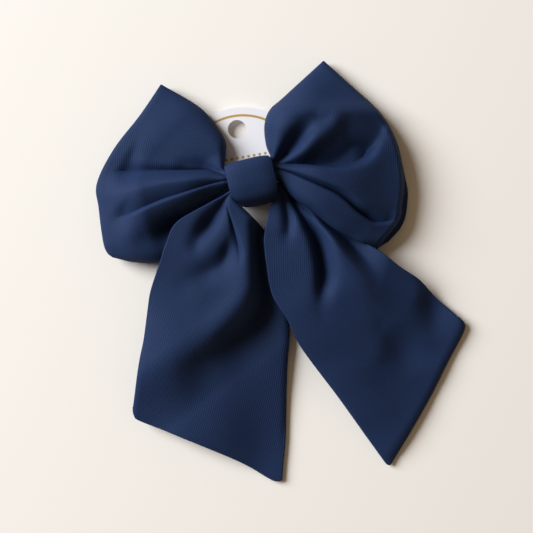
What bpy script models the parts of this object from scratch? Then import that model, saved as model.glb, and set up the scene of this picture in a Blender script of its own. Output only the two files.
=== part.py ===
"""Pleated fabric hair bow with two loops and two tails, on a round card held by its alligator clip.

Shapes are drawn in millimetres from the middle of the centre wrap: +X to the right loop, -Y out of
the front, +Z up. add_object sets them in metres from the middle of the clip's flat back face.
"""
import math

import bmesh
import bpy
import numpy as np

MM = 0.001
BACK = 10.1            # the clip's back face lies this far behind the middle of the wrap

CLOTH = 1.2            # thickness of a folded double layer of cloth
WRAP_HALF = 9.7        # half width of the centre wrap along X
WRAP_CLOTH = 1.0
PIN_X = 29.0           # pivot of the clip
PIN_Y = 7.4
PIN_R = 0.75
HOLE_R = 0.81
ARM_SHEET = 0.8
CARD_R = 28.75
CARD_X = -2.8
CARD_Z = 3.5
CARD_FRONT = 7.6
CARD_BACK = 8.2
HANG_HOLE_R = 3.9
HANG_HOLE = (-2.0, 23.1)


def clear_scene():
    for obj in list(bpy.data.objects):
        bpy.data.objects.remove(obj)


def material(name, color, roughness, metallic=0.0):
    mat = bpy.data.materials.new(name)
    mat.use_nodes = True
    shader = mat.node_tree.nodes["Principled BSDF"]
    shader.inputs["Base Color"].default_value = (*color, 1.0)
    shader.inputs["Roughness"].default_value = roughness
    shader.inputs["Metallic"].default_value = metallic
    return mat


def add_object(name, points, faces, mat, smooth=True, origin=(0.0, 0.0, 0.0)):
    """A mesh object from points in mm, its faces turned outwards and its origin at the given point."""
    base = np.array(origin, float)
    shift = np.array((0.0, BACK, 0.0))
    mesh = bpy.data.meshes.new(name)
    mesh.from_pydata([tuple((np.array(p) - base) * MM) for p in points], [], faces)
    work = bmesh.new()
    work.from_mesh(mesh)
    bmesh.ops.recalc_face_normals(work, faces=work.faces)
    if work.calc_volume(signed=True) < 0:
        bmesh.ops.reverse_faces(work, faces=work.faces)
    work.to_mesh(mesh)
    work.free()
    obj = bpy.data.objects.new(name, mesh)
    obj.location = tuple((base - shift) * MM)
    bpy.context.scene.collection.objects.link(obj)
    mesh.materials.append(mat)
    if smooth:
        mesh.shade_smooth()
        mesh.set_sharp_from_angle(angle=math.radians(40))
    return obj


# --- curves and patches ----------------------------------------------------------------------

def spline(points, count):
    """Points evenly spaced along a Catmull-Rom curve through the given points."""
    given = np.array(points, float)
    padded = np.vstack([2 * given[0] - given[1], given, 2 * given[-1] - given[-2]])
    dense = []
    for i in range(1, len(padded) - 2):
        a, b, c, d = padded[i - 1:i + 3]
        for t in np.linspace(0, 1, 12, endpoint=False):
            dense.append(0.5 * (2 * b + (c - a) * t + (2 * a - 5 * b + 4 * c - d) * t ** 2
                                + (3 * b - a - 3 * c + d) * t ** 3))
    dense.append(given[-1])
    dense = np.array(dense)
    along = np.concatenate([[0], np.cumsum(np.linalg.norm(np.diff(dense, axis=0), axis=1))])
    want = np.linspace(0, along[-1], count)
    return np.stack([np.interp(want, along, dense[:, k]) for k in range(dense.shape[1])], axis=1)


def coons(first, last, inner, outer):
    """Patch between four edges: first and last run from inner to outer along u."""
    u = np.linspace(0, 1, len(first))[:, None, None]
    v = np.linspace(0, 1, len(inner))[None, :, None]
    along = (1 - v) * first[:, None] + v * last[:, None]
    across = (1 - u) * inner[None] + u * outer[None]
    corners = ((1 - u) * (1 - v) * first[0] + (1 - u) * v * last[0]
               + u * (1 - v) * first[-1] + u * v * last[-1])
    return along + across - corners


def resample(values, where):
    """Rows of an array read at fractional positions 0..1 along its first axis."""
    at = np.asarray(where) * (len(values) - 1)
    low = np.minimum(at.astype(int), len(values) - 2)
    part = (at - low).reshape(-1, *([1] * (values.ndim - 1)))
    return values[low] * (1 - part) + values[low + 1] * part


def step(low, high, x):
    t = np.clip((np.asarray(x, float) - low) / (high - low), 0, 1)
    return t * t * (3 - 2 * t)


# --- closed cloth solids ---------------------------------------------------------------------

def sheet_normals(mid, ring):
    if ring:
        du = np.roll(mid, -1, axis=0) - np.roll(mid, 1, axis=0)
    else:
        du = np.gradient(mid, axis=0)
    dv = np.gradient(mid, axis=1)
    normals = np.cross(du, dv)
    return normals / np.maximum(np.linalg.norm(normals, axis=2, keepdims=True), 1e-9)


def cloth_solid(name, mid, thickness, mat, ring=False, origin=(0.0, 0.0, 0.0)):
    """Closed solid from a middle surface: a ring closes on itself along its first axis."""
    rows, cols = mid.shape[:2]
    half = sheet_normals(mid, ring) * (np.asarray(thickness) / 2)
    points = np.concatenate([(mid + half).reshape(-1, 3), (mid - half).reshape(-1, 3)])
    back = rows * cols
    faces = []
    spans = rows if ring else rows - 1
    for i in range(spans):
        a, b = i * cols, ((i + 1) % rows) * cols
        for j in range(cols - 1):
            faces.append((a + j, b + j, b + j + 1, a + j + 1))
            faces.append((back + a + j, back + a + j + 1, back + b + j + 1, back + b + j))
        for j in (0, cols - 1):
            faces.append((a + j, b + j, back + b + j, back + a + j))
    if not ring:
        for a in (0, (rows - 1) * cols):
            for j in range(cols - 1):
                faces.append((a + j, a + j + 1, back + a + j + 1, back + a + j))
    return add_object(name, points, faces, mat, origin=origin)


# --- loops -----------------------------------------------------------------------------------

LEFT_TOP = [(0, 5.2), (-7.5, 5.2), (-10.4, 5.6), (-11.2, 8.4), (-9.8, 13.0), (-8.9, 19.0),
            (-12.0, 27.9), (-17.3, 35.5), (-30.7, 46.6)]
LEFT_FOLD = [(-30.7, 46.6), (-40.6, 36.6), (-54.7, 23.7), (-63.8, 10.5), (-64.6, 0.4),
             (-65.4, -13.8), (-62.4, -21.2)]
LEFT_BOTTOM = [(0, -1.6), (-7.5, -1.6), (-11.5, -3.2), (-21.0, -13.0), (-32.0, -22.5),
               (-43.0, -26.4), (-55.0, -24.6), (-62.4, -21.2)]
RIGHT_TOP = [(0, 5.2), (7.5, 5.2), (10.6, 5.8), (11.5, 8.6), (10.4, 13.0), (10.2, 19.0),
             (13.4, 27.6), (20.2, 32.4), (39.0, 44.8)]
RIGHT_FOLD = [(39.0, 44.8), (51.0, 30.0), (60.3, 15.2), (63.6, -4.1), (63.6, -14.0),
              (59.6, -27.4), (47.6, -36.8)]
RIGHT_BOTTOM = [(0, -1.6), (7.5, -1.6), (11.6, -2.6), (18.6, -15.0), (30.7, -27.2), (47.6, -36.8)]

LOOP_COLS = 13
LOOP_STEPS = np.concatenate([np.linspace(0, 0.86, 11), [0.93, 0.975, 1.0]])


def slip_under(x, z, side):
    """1 where a loop draws back to let a tail pass, 0 above that."""
    if side < 0:
        line = np.interp(x, [-62, -40, -30, -10], [-24, -15, -8, -1])
    else:
        line = np.interp(x, [10, 30, 60], [-3, -17, -26])
    return (1 - step(0, 13, z - line)) * step(9.0, 12.5, np.abs(x))


def loop_layer_depths(x, z, u, v, side):
    """Y of the front and back layers: puffed at the top, and slipping past the tails below."""
    swell = step(0.05, 0.42, u) * (1 - 0.55 * step(0.5, 1.0, u))
    low = slip_under(x, z, side)
    front = -3.9 - 8.8 * swell
    if side < 0:
        front = front * (1 - low) - 2.0 * low
        back = 1.0 + 2.2 * step(0.1, 0.6, u) + 0.6 * low
        fold = -2.6 + 3.6 * step(0.45, 0.95, v)
    else:
        front = front * (1 - 0.25 * low)
        back = 1.0 + 0.5 * step(0.15, 0.5, u) - 3.9 * low
        fold = -3.0 - 1.6 * step(0.45, 0.95, v)
    w = np.clip((u - 0.8) / 0.2, 0, 1)
    close = np.sqrt(np.maximum(1 - w * w, 0))
    return fold + (front - fold) * close, fold + (back - fold) * close


def loop_half(top, fold, bottom, side):
    """Front layer from the knot to the fold, then the back layer from the fold to the knot."""
    count = 41
    first = spline(top, count)
    last = spline(bottom, count)
    inner = spline([first[0], last[0]], LOOP_COLS)
    outer = spline(fold, LOOP_COLS)
    flat = resample(coons(first, last, inner, outer), LOOP_STEPS)
    u = LOOP_STEPS[:, None]
    v = np.linspace(0, 1, LOOP_COLS)[None]
    front, back = loop_layer_depths(flat[..., 0], flat[..., 1], u, v, side)
    layers = [np.stack([flat[..., 0], depth, flat[..., 1]], axis=2) for depth in (front, back)]
    return layers[0], layers[1][-2::-1]


def loop_band(mat):
    left_front, left_back = loop_half(LEFT_TOP, LEFT_FOLD, LEFT_BOTTOM, -1)
    right_front, right_back = loop_half(RIGHT_TOP, RIGHT_FOLD, RIGHT_BOTTOM, 1)
    mid = np.concatenate([left_front, left_back, right_back[-2::-1], right_front[-1:0:-1]])
    gathered = 1 - step(7.5, 12.0, np.abs(mid[..., :1]))
    gathered = gathered * (1 - step(5.5, 8.0, mid[..., 2:]))
    cloth_solid("loop_band", mid, CLOTH + 3.0 * gathered, mat, ring=True)


# --- tails -----------------------------------------------------------------------------------

LEFT_TAIL_LEFT = [(-7.6, -2.5), (-11.5, -2.9), (-19.0, -6.0), (-29.4, -11.6), (-38.5, -19.9),
                  (-48.1, -37.4), (-57.0, -62.6), (-65.0, -88.0)]
LEFT_TAIL_RIGHT = [(-7.6, -4.1), (-11.2, -4.6), (-11.4, -7.4), (-6.6, -13.4), (2.0, -22.2),
                   (5.4, -38.0), (4.4, -60.5), (-2.6, -100.5), (-9.0, -126.4)]
LEFT_TAIL_END = [(-65.0, -88.0), (-44.9, -101.4), (-26.0, -113.7), (-9.0, -126.4)]
RIGHT_TAIL_LEFT = [(7.6, -4.1), (11.4, -4.6), (11.4, -8.6), (8.2, -13.6), (4.2, -19.0), (1.4, -30.0),
                   (1.4, -47.8), (9.9, -74.4), (20.8, -99.0), (37.6, -127.2)]
RIGHT_TAIL_RIGHT = [(7.6, -2.5), (12.0, -3.4), (22.0, -14.0), (35.0, -27.0), (55.0, -46.5),
                    (67.5, -60.3), (78.2, -75.0)]
RIGHT_TAIL_END = [(37.6, -127.2), (45.7, -117.2), (61.7, -97.4), (78.2, -75.0)]

TAIL_COLS = 9
TAIL_ROWS = np.linspace(0, 1, 20) ** 1.6     # closer together where the tail leaves the wrap


def tail_sheet(left, right, end, depth):
    first = spline(left, 121)
    last = spline(right, 121)
    inner = spline([first[0], last[0]], TAIL_COLS)
    flat = resample(coons(first, last, inner, spline(end, TAIL_COLS)), TAIL_ROWS)
    x, z = flat[..., 0], flat[..., 1]
    return np.stack([x, depth(x, z), z], axis=2)


def left_tail_depth(x, z):
    """In front of the left loop, then back under the right tail, and down towards the tips."""
    across = step(-24, 1, x) * step(-9, -20, z)
    return -5.8 + 11.4 * across + 11.5 * step(-30, -100, z) * (1 - 0.9 * across)


def right_tail_depth(x, z):
    """Behind the right loop and in front of the left tail."""
    return 1.4 + 7.8 * step(-62, -112, z) * step(2, 20, x)


def tails(mat):
    left = tail_sheet(LEFT_TAIL_LEFT, LEFT_TAIL_RIGHT, LEFT_TAIL_END, left_tail_depth)
    right = tail_sheet(RIGHT_TAIL_LEFT, RIGHT_TAIL_RIGHT, RIGHT_TAIL_END, right_tail_depth)
    cloth_solid("left_tail", left, CLOTH, mat("tail_left_cloth"), origin=(-9.5, 0, -3.3))
    cloth_solid("right_tail", right, CLOTH, mat("tail_right_cloth"), origin=(9.5, 0, -3.3))


# --- centre wrap and thread ------------------------------------------------------------------

def wrap_limits(x):
    """Lowest and highest Z of the wrap's outer face at this X: a soft, slightly skewed square."""
    low = np.interp(x, [-9.7, -8.6, -5.0, 0.0, 6.5, 8.6, 9.7], [-6.3, -7.4, -10.9, -11.2, -10.8, -8.8, -6.6])
    high = np.interp(x, [-9.7, -8.0, 0.0, 8.0, 9.7], [7.3, 7.9, 8.3, 8.8, 7.9])
    return low, high


def centre_wrap(mat):
    columns = np.linspace(-WRAP_HALF, WRAP_HALF, 11)
    angles = np.linspace(0, 2 * math.pi, 36, endpoint=False)
    half_cloth = WRAP_CLOTH / 2
    mid = np.zeros((len(angles), len(columns), 3))
    for j, x in enumerate(columns):
        low, high = wrap_limits(x)
        front = -9.6 + 0.9 * (x / WRAP_HALF) ** 2
        back = 6.3 + half_cloth
        half_y = (back - front) / 2
        half_z = (high - low) / 2 - half_cloth
        for i, angle in enumerate(angles):
            c, s = math.cos(angle), math.sin(angle)
            y = math.copysign(abs(c) ** 0.5, c)
            z = math.copysign(abs(s) ** 0.5, s)
            mid[i, j] = (x, (front + back) / 2 + half_y * y, (low + high) / 2 + half_z * z)
    cloth_solid("centre_wrap", mid, WRAP_CLOTH, mat, ring=True)


def tube(name, path, radius, sides, mat):
    """Round wire along a path, with both ends capped."""
    path = np.array(path, float)
    tangents = np.gradient(path, axis=0)
    tangents /= np.linalg.norm(tangents, axis=1, keepdims=True)
    points, faces = [], []
    normal = np.cross(tangents[0], (0.3, 0.5, 0.8))
    for centre, tangent in zip(path, tangents):
        normal = normal - tangent * normal.dot(tangent)
        normal /= np.linalg.norm(normal)
        other = np.cross(tangent, normal)
        for k in range(sides):
            angle = 2 * math.pi * k / sides
            points.append(centre + radius * (math.cos(angle) * normal + math.sin(angle) * other))
    for i in range(len(path) - 1):
        for k in range(sides):
            a, b = i * sides + k, i * sides + (k + 1) % sides
            faces.append((a, b, b + sides, a + sides))
    faces.append(tuple(range(sides)))
    faces.append(tuple(range((len(path) - 1) * sides, len(path) * sides)))
    return add_object(name, points, faces, mat)


def gather_thread(mat):
    """Three turns of thread round the gathered middle of the band."""
    turns, per_turn = 3, 24
    path = []
    for i in range(turns * per_turn + 1):
        angle = 2 * math.pi * i / per_turn
        c, s = math.cos(angle), math.sin(angle)
        y = -1.45 + 5.35 * math.copysign(abs(c) ** 0.3, c)
        z = 1.9 + 4.4 * math.copysign(abs(s) ** 0.3, s)
        path.append((-1.5 + 3.0 * i / (turns * per_turn), y, z))
    tube("gather_thread", path, 0.22, 6, mat)


# --- clip ------------------------------------------------------------------------------------

def sheet_strip(name, path, half_width, mat):
    """Sheet metal following a path in XY, with its half width along Z a function of X."""
    path = np.array(path, float)
    along = np.gradient(path, axis=0)
    along /= np.linalg.norm(along, axis=1, keepdims=True)
    normals = np.stack([-along[:, 1], along[:, 0]], axis=1) * ARM_SHEET / 2
    points, faces = [], []
    for (x, y), (nx, ny) in zip(path, normals):
        w = half_width(x)
        points += [(x + nx, y + ny, w), (x + nx, y + ny, -w), (x - nx, y - ny, -w), (x - nx, y - ny, w)]
    for i in range(len(path) - 1):
        for k in range(4):
            a, b = 4 * i + k, 4 * i + (k + 1) % 4
            faces.append((a, b, b + 4, a + 4))
    last = 4 * (len(path) - 1)
    faces += [(0, 1, 2, 3), (last, last + 1, last + 2, last + 3)]
    return add_object(name, points, faces, mat, smooth=False)


def prism(name, outline, z0, z1, mat=None):
    """Solid from an outline in XY between two heights."""
    count = len(outline)
    points = [(x, y, z) for z in (z0, z1) for x, y in outline]
    faces = [tuple(range(count)), tuple(range(count, 2 * count))]
    faces += [(i, (i + 1) % count, count + (i + 1) % count, count + i) for i in range(count)]
    return add_object(name, points, faces, mat, smooth=False)


def ear_outline(base_y, toward):
    """Lug from the arm's sheet to a round end about the pin."""
    outline = [(PIN_X - 2.8, base_y), (PIN_X - 1.7, PIN_Y)]
    for k in range(1, 12):
        angle = math.pi * (1 - k / 12)
        outline.append((PIN_X + 1.7 * math.cos(angle), PIN_Y + toward * 1.7 * math.sin(angle)))
    return outline + [(PIN_X + 1.7, PIN_Y), (PIN_X + 2.8, base_y)]


def circle(cx, cy, radius, count):
    return [(cx + radius * math.cos(2 * math.pi * k / count),
             cy + radius * math.sin(2 * math.pi * k / count)) for k in range(count)]


def combine(target, other, operation):
    mod = target.modifiers.new(operation.lower(), "BOOLEAN")
    mod.operation = operation
    mod.solver = "EXACT"
    mod.object = other
    other.hide_render = True
    other.display_type = "WIRE"


def arm_with_ears(name, path, half_width, base_y, toward, ear_z, mat):
    arm = sheet_strip(name, path, half_width, mat)
    for sign in (1, -1):
        z0, z1 = sorted((sign * ear_z[0], sign * ear_z[1]))
        ear = prism(f"{name}_ear_tool", ear_outline(base_y, toward), z0, z1, mat)
        combine(arm, ear, "UNION")
    bore = prism(f"{name}_bore_tool", circle(PIN_X, PIN_Y, HOLE_R, 32), -6, 6, mat)
    combine(arm, bore, "DIFFERENCE")
    return arm


def alligator_clip(mat):
    upper = [(-22.0, 6.9), (-20.5, 6.6), (-13.5, 5.0), (-11.5, 4.9), (31.5, 4.9), (33.5, 4.7), (43.0, 3.3)]
    lower = [(-22.6, 8.9), (-21.2, 9.2), (-18.6, 9.7), (31.5, 9.7), (33.0, 10.1), (43.0, 13.0)]

    def upper_width(x):
        return float(np.interp(x, [-22, -12, 26, 34, 43], [2.2, 3.0, 4.5, 4.5, 3.8]))

    def lower_width(x):
        return float(np.interp(x, [-22, -12, 26, 33, 34.5, 43], [2.2, 2.8, 3.3, 3.3, 4.3, 3.8]))

    arm_with_ears("clip_upper_arm", upper, upper_width, 4.9, 1, (3.75, 4.5), mat("clip_steel_upper"))
    arm_with_ears("clip_lower_arm", lower, lower_width, 9.7, -1, (2.6, 3.3), mat("clip_steel_lower"))
    pin = prism("clip_pin", circle(PIN_X, PIN_Y, PIN_R, 32), -5.0, 5.0, mat("clip_steel_pin"))
    pin.data.shade_smooth()
    pin.data.set_sharp_from_angle(angle=math.radians(40))
    clip_spring(mat("clip_spring_wire"))


def clip_spring(mat):
    """Torsion spring about the pin, one leg under each lever."""
    coil_r, turns, per_turn = 1.2, 4.5, 16
    count = int(turns * per_turn)
    path = [(38.0, 5.0, -1.9), (34.5, 5.55, -1.9), (31.5, 6.0, -1.9)]
    for i in range(count + 1):
        angle = -math.pi / 2 - 2 * math.pi * i / per_turn
        path.append((PIN_X + coil_r * math.cos(angle), PIN_Y + coil_r * math.sin(angle),
                     -1.9 + 3.8 * i / count))
    path += [(31.5, 8.85, 1.9), (34.5, 9.55, 1.9), (38.0, 10.55, 1.9)]
    tube("clip_spring", path, 0.26, 6, mat)


# --- card ------------------------------------------------------------------------------------

def display_card(mat):
    outline = circle(CARD_X, CARD_Z, CARD_R, 72)
    points = [(x, y, z) for y in (CARD_FRONT, CARD_BACK) for x, z in outline]
    count = len(outline)
    faces = [tuple(range(count)), tuple(range(count, 2 * count))]
    faces += [(i, (i + 1) % count, count + (i + 1) % count, count + i) for i in range(count)]
    card = add_object("display_card", points, faces, mat, smooth=False)
    hole = circle(HANG_HOLE[0], HANG_HOLE[1], HANG_HOLE_R, 32)
    points = [(x, y, z) for y in (CARD_FRONT - 2, CARD_BACK + 2) for x, z in hole]
    count = len(hole)
    faces = [tuple(range(count)), tuple(range(count, 2 * count))]
    faces += [(i, (i + 1) % count, count + (i + 1) % count, count + i) for i in range(count)]
    punch = add_object("hang_hole_tool", points, faces, mat, smooth=False)
    combine(card, punch, "DIFFERENCE")


def navy(name):
    return material(name, (0.027, 0.042, 0.095), 0.85)


def steel(name):
    return material(name, (0.62, 0.62, 0.63), 0.28, metallic=1.0)


clear_scene()
loop_band(navy("loop_cloth"))
tails(navy)
centre_wrap(navy("wrap_cloth"))
gather_thread(material("thread", (0.03, 0.04, 0.08), 0.7))
alligator_clip(steel)
display_card(material("card_paper", (0.86, 0.85, 0.87), 0.6))
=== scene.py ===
"""Looks, light and camera for the fabric hair bow on its display card.

Shapes are drawn in millimetres from the middle of the centre wrap: +X to the right loop, -Y out of
the front, +Z up. add_mesh sets them in the frame, whose origin is on the clip's back face. Outlines,
guides and paths are (x, z) points as seen from the front. A height is how far in front of the middle
of the wrap a cloth lies. On a sheet of cloth u runs from 0 at the knot to 1 at its end, and v from 0
at its first guide to 1 at its last.
"""
import math

import bpy
import numpy as np
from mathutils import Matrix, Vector

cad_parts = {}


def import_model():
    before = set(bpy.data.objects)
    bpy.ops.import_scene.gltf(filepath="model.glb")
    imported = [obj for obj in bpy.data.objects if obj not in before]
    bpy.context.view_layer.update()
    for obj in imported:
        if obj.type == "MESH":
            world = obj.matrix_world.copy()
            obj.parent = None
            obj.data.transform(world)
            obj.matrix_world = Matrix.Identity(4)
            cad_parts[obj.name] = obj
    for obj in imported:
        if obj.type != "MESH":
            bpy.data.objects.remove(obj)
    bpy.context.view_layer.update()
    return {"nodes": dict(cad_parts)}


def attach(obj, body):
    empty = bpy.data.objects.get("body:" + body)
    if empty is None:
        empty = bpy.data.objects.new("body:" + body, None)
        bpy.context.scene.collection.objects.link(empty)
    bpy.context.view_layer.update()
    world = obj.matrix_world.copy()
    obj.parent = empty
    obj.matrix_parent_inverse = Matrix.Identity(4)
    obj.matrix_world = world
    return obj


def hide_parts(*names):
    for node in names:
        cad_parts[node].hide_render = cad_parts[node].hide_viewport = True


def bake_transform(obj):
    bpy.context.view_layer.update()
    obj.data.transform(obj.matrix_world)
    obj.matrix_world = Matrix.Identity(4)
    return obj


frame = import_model()

MM = 0.001
BACK = 10.1                     # the clip's back face lies this far behind the middle of the wrap
CLOTH = 1.0                     # thickness of a folded double layer of cloth
RIB = 0.95                      # pitch of the twill's ribs
PICK = 0.8                      # pitch of the diagonal between the ribs

CARD_X, CARD_Z = -2.8, 3.5      # the card's middle
RING_R, RING_WIDTH = 25.3, 1.0  # middle radius and width of the card's gold ring
DOTS_Z = 7.5                    # height of the row of gold dots above the card's middle
DOT_PITCH, DOT_R = 2.4, 0.62

TABLE = -9.2                    # height of a cloth that lies on the tabletop
ON_CARD = 2.7                   # how much higher a cloth lies on the card
ON_ARM, ARM_RISE = -3.8, 1.6    # height on the clip's upper arm, and its rise towards the hinge

ROLL = 10.0                     # the camera rolls by this, so that the bow looks turned anticlockwise
LENS, SENSOR = 85, 36           # the camera's focal length and sensor width
VIEW_WIDTH = 222.1              # width of the picture at the bow
VIEW_RIGHT, VIEW_DOWN = 6.458, 35.625  # the picture's middle, right of and below the knot in the picture
VIEW_PLANE = 10.0               # the view's width is taken this far in front of the clip's back face

GOLDEN_ANGLE = 2.4              # radians between the directions of a ripple's waves
PATH_POINTS = 40                # samples along a groove's path
GUIDE_POINTS = 241              # samples along a guide
END_POINTS = 801                # samples along a sheet's end outline


# --- curves ----------------------------------------------------------------------------------

def spline(points, count, per_span=16):
    """Points evenly spaced along a Catmull-Rom curve through the given points."""
    given = np.array(points, float)
    padded = np.vstack([2 * given[0] - given[1], given, 2 * given[-1] - given[-2]])
    dense = []
    for i in range(1, len(padded) - 2):
        a, b, c, d = padded[i - 1:i + 3]
        for t in np.linspace(0, 1, per_span, endpoint=False):
            dense.append(0.5 * (2 * b + (c - a) * t + (2 * a - 5 * b + 4 * c - d) * t ** 2
                                + (3 * b - a - 3 * c + d) * t ** 3))
    dense = np.array(dense + [given[-1]])
    run = np.concatenate([[0], np.cumsum(np.linalg.norm(np.diff(dense, axis=0), axis=1))])
    want = np.linspace(0, run[-1], count)
    return np.stack([np.interp(want, run, dense[:, k]) for k in range(dense.shape[1])], axis=1)


def hermite(knots, values, where):
    """Smooth curve through values at knots, read at the given places; values may be arrays."""
    knots = np.asarray(knots, float)
    values = np.asarray(values, float)
    shape = (-1,) + (1,) * (values.ndim - 1)
    gaps = np.diff(knots).reshape(shape)
    slopes = np.diff(values, axis=0) / gaps
    inner = (slopes[1:] * gaps[:-1] + slopes[:-1] * gaps[1:]) / (gaps[1:] + gaps[:-1])
    tangents = np.concatenate([slopes[:1], inner, slopes[-1:]])
    at = np.clip(np.searchsorted(knots, where, side="right") - 1, 0, len(knots) - 2)
    gap = (knots[at + 1] - knots[at]).reshape(shape)
    t = (where - knots[at]).reshape(shape) / gap
    return ((2 * t ** 3 - 3 * t ** 2 + 1) * values[at] + (t ** 3 - 2 * t ** 2 + t) * gap * tangents[at]
            + (3 * t ** 2 - 2 * t ** 3) * values[at + 1] + (t ** 3 - t ** 2) * gap * tangents[at + 1])


def step(low, high, x):
    """0 below low, 1 above high, and a smooth rise between; high may be the smaller of the two."""
    t = np.clip((np.asarray(x, float) - low) / (high - low), 0, 1)
    return t * t * (3 - 2 * t)


def along(u, *pairs):
    """A value that goes smoothly from each (place, value) pair to the next, without overshoot."""
    total = np.full(u.shape, float(pairs[0][1]))
    for (low, first), (high, last) in zip(pairs[:-1], pairs[1:]):
        total += (last - first) * step(low, high, u)
    return total


def groove(x, z, path, depth, above, below, power=2.0):
    """Soft trench along a path: depth pairs run along it, and above and below are its two half widths.

    Above is the side on the left hand of someone who walks the path. The trench starts narrow and
    has its full width from halfway on. A power near 1 makes it a V.
    """
    line = spline(path, PATH_POINTS)
    tangent = np.diff(line, axis=0)
    length2 = (tangent ** 2).sum(axis=1)
    best = np.full(x.shape, 1e9)
    place = np.zeros(x.shape)
    side = np.zeros(x.shape)
    for k in range(len(tangent)):
        dx = x - line[k, 0]
        dz = z - line[k, 1]
        t = np.clip((dx * tangent[k, 0] + dz * tangent[k, 1]) / length2[k], 0, 1)
        far = np.hypot(dx - t * tangent[k, 0], dz - t * tangent[k, 1])
        near = far < best
        best = np.where(near, far, best)
        place = np.where(near, (k + t) / len(tangent), place)
        side = np.where(near, tangent[k, 0] * dz - tangent[k, 1] * dx, side)
    width = np.where(side > 0, above, below) * (0.4 + 0.6 * step(0, 0.5, place))
    return along(place, *depth) * np.exp(-(best / width) ** power)


def unit(vectors):
    """The vectors at length 1."""
    return vectors / np.maximum(np.linalg.norm(vectors, axis=-1, keepdims=True), 1e-9)


def dome(v, low, high):
    """1 in the middle of a band, rounding down to 0 at its two edges."""
    first = np.sqrt(1 - (1 - np.clip(v / low, 0, 1)) ** 2)
    return first * np.sqrt(1 - (1 - np.clip((1 - v) / high, 0, 1)) ** 2)


# --- cloth sheets ----------------------------------------------------------------------------

def nearest(points, point):
    """Index of the point of a line that is nearest to a given one."""
    return int(np.argmin(np.linalg.norm(points - np.array(point), axis=1)))


def split(count, crowding=1.6):
    """Fractions 0..1, closer together at both ends."""
    t = np.linspace(-1, 1, count + 1)
    return (np.sign(t) * (1 - (1 - np.abs(t)) ** crowding) + 1) / 2


def places_on(end, guides):
    """Where each guide meets the end outline, as fractions of its length."""
    edge = spline(end, END_POINTS)
    places = [nearest(edge, guide[-1]) / (END_POINTS - 1) for guide in guides[1:-1]]
    return [0.0] + places + [1.0]


def columns_between(places, per_gap):
    """Places of a sheet's columns: per_gap between every two guides, closer together at the guides."""
    v_at = [0.0]
    for low, high in zip(places[:-1], places[1:]):
        v_at += list(low + (high - low) * split(per_gap)[1:])
    return np.array(v_at)


def flat_grid(guides, end, u_at, v_at):
    """In-plane grid whose lines follow the guides and whose last row follows the end outline."""
    places = places_on(end, guides)
    lines = hermite(places, np.stack([spline(guide, GUIDE_POINTS) for guide in guides]), v_at)
    edge = spline(end, END_POINTS)[np.round(v_at * (END_POINTS - 1)).astype(int)]
    pull = np.linspace(0, 1, GUIDE_POINTS)[None, :, None] ** 3
    lines += pull * (edge - lines[:, -1])[:, None]
    at = u_at * (GUIDE_POINTS - 1)
    low = np.minimum(at.astype(int), GUIDE_POINTS - 2)
    part = (at - low)[None, :, None]
    grid = lines[:, low] * (1 - part) + lines[:, low + 1] * part
    return grid.transpose(1, 0, 2)


def crease(height, grid, v, places, index, depth, above, below, lap):
    """Sinks a crease along a guide, and laps the cloth below it over it by lap.

    Above and below are its reach on each side, as shares of the way to the next guide."""
    at = places[index]
    up = (at - v) / max(at - places[index - 1], 1e-6)
    down = (v - at) / max(places[index + 1] - at, 1e-6)
    rise = np.clip(1 - up / above, 0, 1) ** 2 * (v <= at)
    fall = np.clip(1 - down / below, 0, 1) ** 2 * (v > at)
    height -= depth * (rise + fall)
    across = unit(np.gradient(grid, axis=1))
    reach = down / below
    bump = reach * np.exp(1 - reach) * (v > at) * np.clip(1 - down, 0, 1)
    grid -= across * (lap * bump)[..., None]


def pleats(u, v, places, height, fade):
    """Rounded strands between the creases beside the wrap, fading out along the cloth."""
    total = np.zeros_like(v)
    for low, high in zip(places[:-1], places[1:]):
        t = np.clip((v - low) / (high - low), 0, 1)
        total += np.where((v >= low) & (v <= high), 1 - np.sqrt(np.maximum(0, 1 - (2 * t - 1) ** 2)), 0)
    return -height * np.minimum(total, 1) * (1 - step(0, fade, u))


def blur(at, reach):
    """Matrix that averages values at the given places over a bell of the given reach."""
    weights = np.exp(-((at[:, None] - at[None]) / reach) ** 2 / 2) * np.gradient(at)[None]
    return weights / weights.sum(axis=1, keepdims=True)


def soften(height, u, v, reach_u, reach_v):
    """A height field evened out, so that its grooves have no hard ends."""
    return blur(u[:, 0], reach_u) @ height @ blur(v[0], reach_v).T


def lowest(x, z):
    """How low a cloth can lie: on the table, the card, which slides out to the left, or the clip's arm."""
    on_card = 1 - step(29, 35, np.hypot(np.maximum(x - CARD_X, 0), z - CARD_Z))
    on_arm = (1 - step(5.5, 14, np.abs(z))) * step(-36, -24, x) * (1 - step(43, 58, x))
    card = TABLE + ON_CARD * on_card
    arm = ON_ARM + ARM_RISE * step(22, 32, x)
    return card + (arm - card) * on_arm


def rest_on(height, floor, softness=0.4):
    """Height kept above a floor, with a smooth bend where it comes down on it."""
    above = height - floor
    return floor + (above + np.sqrt(above ** 2 + softness)) / 2


def ripple(x, z, size, seed):
    """Small uneven waves of a hand-folded cloth, about -1 to 1."""
    total = np.zeros_like(x)
    for k in range(6):
        angle = seed + GOLDEN_ANGLE * k
        wave = size * (0.75 + 0.17 * k)
        total += np.sin(2 * math.pi * (x * math.cos(angle) + z * math.sin(angle)) / wave + seed * (k + 1))
    return total / 3


def normals_of(mid):
    """Unit normals of a grid of points."""
    return unit(np.cross(np.gradient(mid, axis=0), np.gradient(mid, axis=1)))


def arc(points, axis):
    """Distance run along an axis of a grid."""
    lengths = np.linalg.norm(np.diff(points, axis=axis), axis=2)
    start = np.zeros_like(np.take(lengths, [0], axis=axis))
    return np.concatenate([start, np.cumsum(lengths, axis=axis)], axis=axis)


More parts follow.
